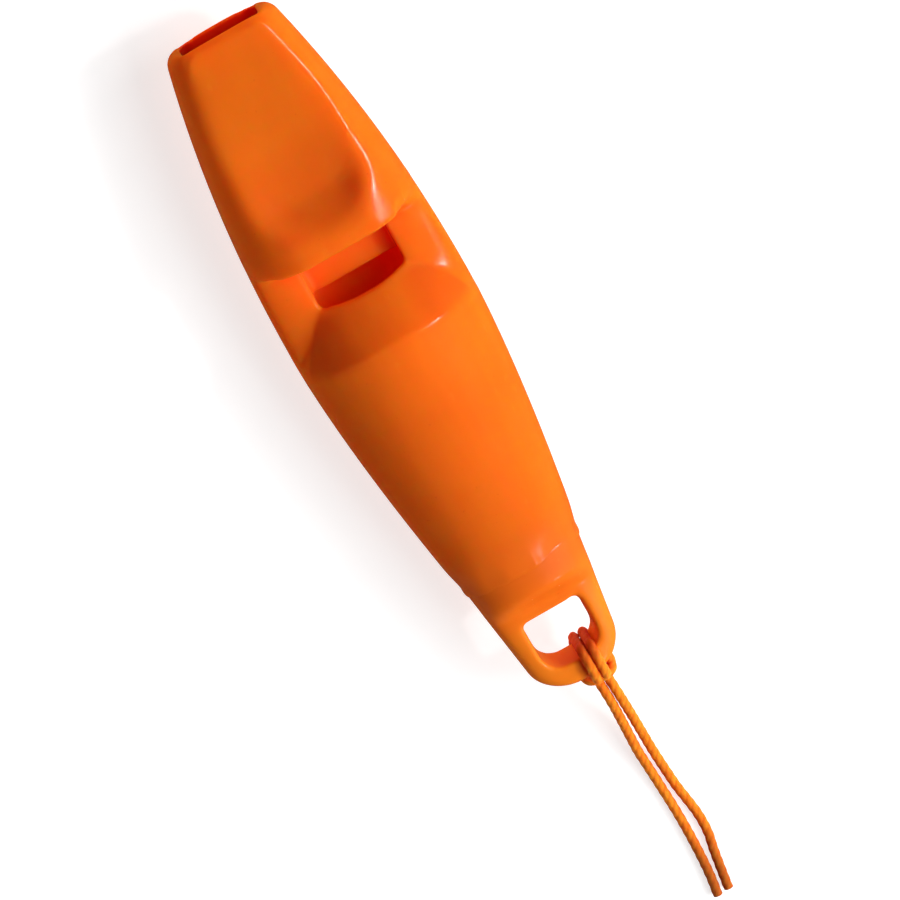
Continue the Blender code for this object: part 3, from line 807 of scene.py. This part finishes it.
def slot_rise(place):
    """How far a point of the slot's upper lip rises, so that the lip thins out at the mouth."""
    base, roof, top = SLOT_HEIGHTS
    share = smooth_step(place.z, base, roof) * (1 - smooth_step(place.z, roof, top))
    share *= 1 - smooth_step(place.x, MOUTH, MOUTH + SLOT_REACH)
    return SLOT_LEAD * share * (1 - smooth_step(abs(place.y), *SLOT_HALF))


def shelf_drop(place):
    """How far a point of the notch's shelves and ramp sinks towards the sides."""
    beyond = max(0.0, abs(place.y) - SHELF_FLAT)
    return SHELF_CROWN * beyond**2 * inside(place, *SHELF_ZONE)


print(f"slot: upper lip up to {SLOT_LEAD / MM:.1f} mm thinner")

# %% Crown of the rear body
REAR_ROUNDING = 0.25
REAR_START = (MOUTH + 30.0 * MM, MOUTH + 36.0 * MM)
REAR_END = (RIM - 8.0 * MM, RIM - 2.0 * MM)


def half_widths(piece, step):
    """The widest point of a piece in each step along it."""
    widest = {}
    for vert in piece.data.vertices:
        key = round(vert.co.x / step)
        widest[key] = max(widest.get(key, 0.0), abs(vert.co.y))
    return widest


def rounding_drop(place, half_width):
    """How far a point of the rear body's crown sinks to make its oval rounder."""
    zone = smooth_step(place.x, *REAR_START) * (1 - smooth_step(place.x, *REAR_END))
    outward = (place.y / half_width) ** 2
    return REAR_ROUNDING * zone * outward * max(0.0, place.z - MIDLINE)


print(f"crown: rounder over {(REAR_END[1] - REAR_START[0]) / MM:.0f} mm")

# %% [markdown]
# ## The weld
# Where the cap is welded on, the body thickens to a low bead, whose top land ends just right of the
# middle. The bead is raised after the smoothing, which would flatten it. The body's end is also
# drawn in a little, so that it meets the cap at a shallow angle and hardly leaves a line.

# %% Bead at the weld
BEAD = 0.3 * MM
BEAD_PLACES = (RIM - 4.8 * MM, RIM - 1.3 * MM)
BEAD_FLOOR = MIDLINE + 2.0 * MM
BEAD_SIDE = (1.6 * MM, 4.0 * MM)
LAND_DEPTH = 0.14 * MM
LAND_EDGE = (1.0 * MM, 1.9 * MM)
TUCK_START = RIM - 4.0 * MM
TUCK_SIDE = 0.03
TUCK_TOP = 0.075


def bead_rise(place):
    """How far a point of the top rises towards the weld, less on the right of its land."""
    if place.z < BEAD_FLOOR:
        return 0.0
    start, crest = BEAD_PLACES
    zone = smooth_step(place.x, start, crest) * (1 - smooth_step(place.x, crest, RIM))
    land = BEAD * (1 - smooth_step(abs(place.y), *BEAD_SIDE))
    return zone * (land - LAND_DEPTH * smooth_step(place.y, *LAND_EDGE))


def tuck_under(place):
    """Draws a point near the rim in towards the middle, under the cap's edge."""
    share = smooth_step(place.x, TUCK_START, RIM)
    place.y *= 1 - TUCK_SIDE * share
    place.z -= TUCK_TOP * share * (place.z - MIDLINE)


print(f"bead: {BEAD / MM:.1f} mm high")

# %% [markdown]
# ## The body moulding
# The body is the mouthpiece, the notch with its window and the chamber in one piece. Now its parts
# come together: even voxels, the shifts, a little smoothing all over, much more in the soft places,
# and the bead at the weld.

# %% Body moulding
BODY_VOXEL = 0.15 * MM
BODY_ROUNDS = 26
SOFT_ROUNDS = 300
BODY_TRIANGLES = 190000

body = even_copy("whistle_moulding", "whistle_body", BODY_VOXEL)
widest = half_widths(body, MM)
for vert in body.data.vertices:
    half_width = widest[round(vert.co.x / MM)]
    drop = step_drop(vert.co) + shelf_drop(vert.co) + rounding_drop(vert.co, half_width)
    vert.co.z += slot_rise(vert.co) - drop
soften(body, BODY_ROUNDS)
soften(body, SOFT_ROUNDS, softness)
for vert in body.data.vertices:
    vert.co.z += bead_rise(vert.co)
    tuck_under(vert.co)
finish_moulding(body, "whistle_body", body_finish, BODY_TRIANGLES)

# %% [markdown]
# ## The tail cap
# The cap is a second moulding, welded on by its plug. The solids keep a small clearance at the weld
# that the real one doesn't have, so the cap's shoulder is widened a little and moved on until it is
# inside the body's rim. The right shoulder of the eye is softer than its other edges.

# %% Tail cap
SHOULDER = RIM + 0.3 * MM
SHOULDER_BAND = 0.1 * MM
SHOULDER_WIDENING = 1.04
WELD = 2.0 * MM
CAP_VOXEL = 0.13 * MM
CAP_ROUNDS = 40
CAP_SOFT_ROUNDS = 160
CAP_SOFT_PLACE = ((29.5, 3.2, 7.5), (36.0, 5.0, 12.0), 1.4)
CAP_TRIANGLES = 120000


def close_weld(bm):
    """Widens the cap's shoulder and moves it on into the body."""
    shoulder = [vert for vert in bm.verts if abs(vert.co.x - SHOULDER) < SHOULDER_BAND]
    bmesh.ops.scale(bm, verts=shoulder, vec=(1, SHOULDER_WIDENING, 1))
    bmesh.ops.translate(bm, verts=shoulder, vec=(-WELD, 0, 0))
    print("shoulder:", len(shoulder), "vertices moved")


cap = even_copy("cap_moulding", "tail_cap", CAP_VOXEL, close_weld)
soften(cap, CAP_ROUNDS)
soften(cap, CAP_SOFT_ROUNDS, lambda place: inside(place, *CAP_SOFT_PLACE))
finish_moulding(cap, "tail_cap", cap_finish, CAP_TRIANGLES)

# %% [markdown]
# ## Floor
# The whistle lies on white paper that fades into the background. Paper lit to pure white would need
# so much light that the plastic burns out, so the floor is grey and gives some light of its own,
# and doesn't show in the plastic's gloss.

# %% Floor
PAPER_DARK = (0.46, 0.46, 0.46, 1)
PAPER_LIGHT = (0.48, 0.48, 0.48, 1)
FLOOR_HALF = 3.0
FLOOR_GLOW = 0.74
FLECK_SIZE = 3.0 * MM

floor_finish, shader, place = new_finish("studio_paper")
fleck = place.noise(FLECK_SIZE, 3.0)
feed(
    shader,
    Base_Color=fleck.ramp(0.2, 0.8).mix(PAPER_DARK, PAPER_LIGHT),
    Roughness=0.9,
    Emission_Color=(1, 1, 1, 1),
    Emission_Strength=FLOOR_GLOW,
    Normal=fleck.bump(0.02 * MM, 0.2),
)
bm = bmesh.new()
bmesh.ops.create_grid(bm, x_segments=1, y_segments=1, size=FLOOR_HALF)
floor_mesh = bpy.data.meshes.new("studio_floor")
bm.to_mesh(floor_mesh)
bm.free()
floor_mesh.materials.append(floor_finish)
floor = bpy.data.objects.new("studio_floor", floor_mesh)
floor.visible_glossy = False
bpy.context.scene.collection.objects.link(floor)
print(f"floor: {2 * FLOOR_HALF:.0f} m square")

# %% [markdown]
# ## Light
# One large soft light stands on the right, a little behind the whistle. It is hidden from the
# gloss, or its wide reflection would veil the orange. Three small lamps make the glints: on the
# ramp's crest, on the ridge beside the panel and at the tail. The background is kept dim to
# everything but the camera, so that the plastic's dark side stays dark.

# %% Lights
# Name, place and sides in metres, watts, and whether its reflection shows.
LAMPS = (
    ("key_light", (0.18, 0.49, 0.46), (0.90, 0.80), 7.3, False),
    ("crest_glint", (0.14, 0.43, 0.53), (0.06, 0.06), 0.35, True),
    ("ridge_glint", (0.04, 0.49, 0.48), (0.06, 0.06), 1.3, True),
    ("tail_glint", (0.525, 0.238, 0.436), (0.05, 0.05), 0.25, True),
)


def softbox(name, place, size, power, mirrored):
    """A lamp that faces the middle of the whistle; its reflection shows or not."""
    lamp = bpy.data.lights.new(name, "AREA")
    lamp.shape = "RECTANGLE"
    lamp.size, lamp.size_y = size
    lamp.energy = power
    light = bpy.data.objects.new(name, lamp)
    light.location = place
    light.visible_glossy = mirrored
    light.rotation_euler = (-light.location).to_track_quat("-Z", "Y").to_euler()
    bpy.context.scene.collection.objects.link(light)


for lamp_row in LAMPS:
    softbox(*lamp_row)

# %% Background
SKY = (0.93, 0.95, 1.0, 1)
SKY_FOR_CAMERA = 0.8
SKY_FOR_ALL = 0.03

world = bpy.data.worlds.new("studio_world")
world.use_nodes = True
bpy.context.scene.world = world
sky = world.node_tree
background = sky.nodes["Background"]
seen = Wire(sky, sky.nodes.new("ShaderNodeLightPath").outputs["Is Camera Ray"])
background.inputs["Color"].default_value = SKY
strength = seen * SKY_FOR_CAMERA + SKY_FOR_ALL
sky.links.new(strength.socket, background.inputs["Strength"])
bpy.context.scene.view_settings.view_transform = "Standard"
print("background:", world.name)
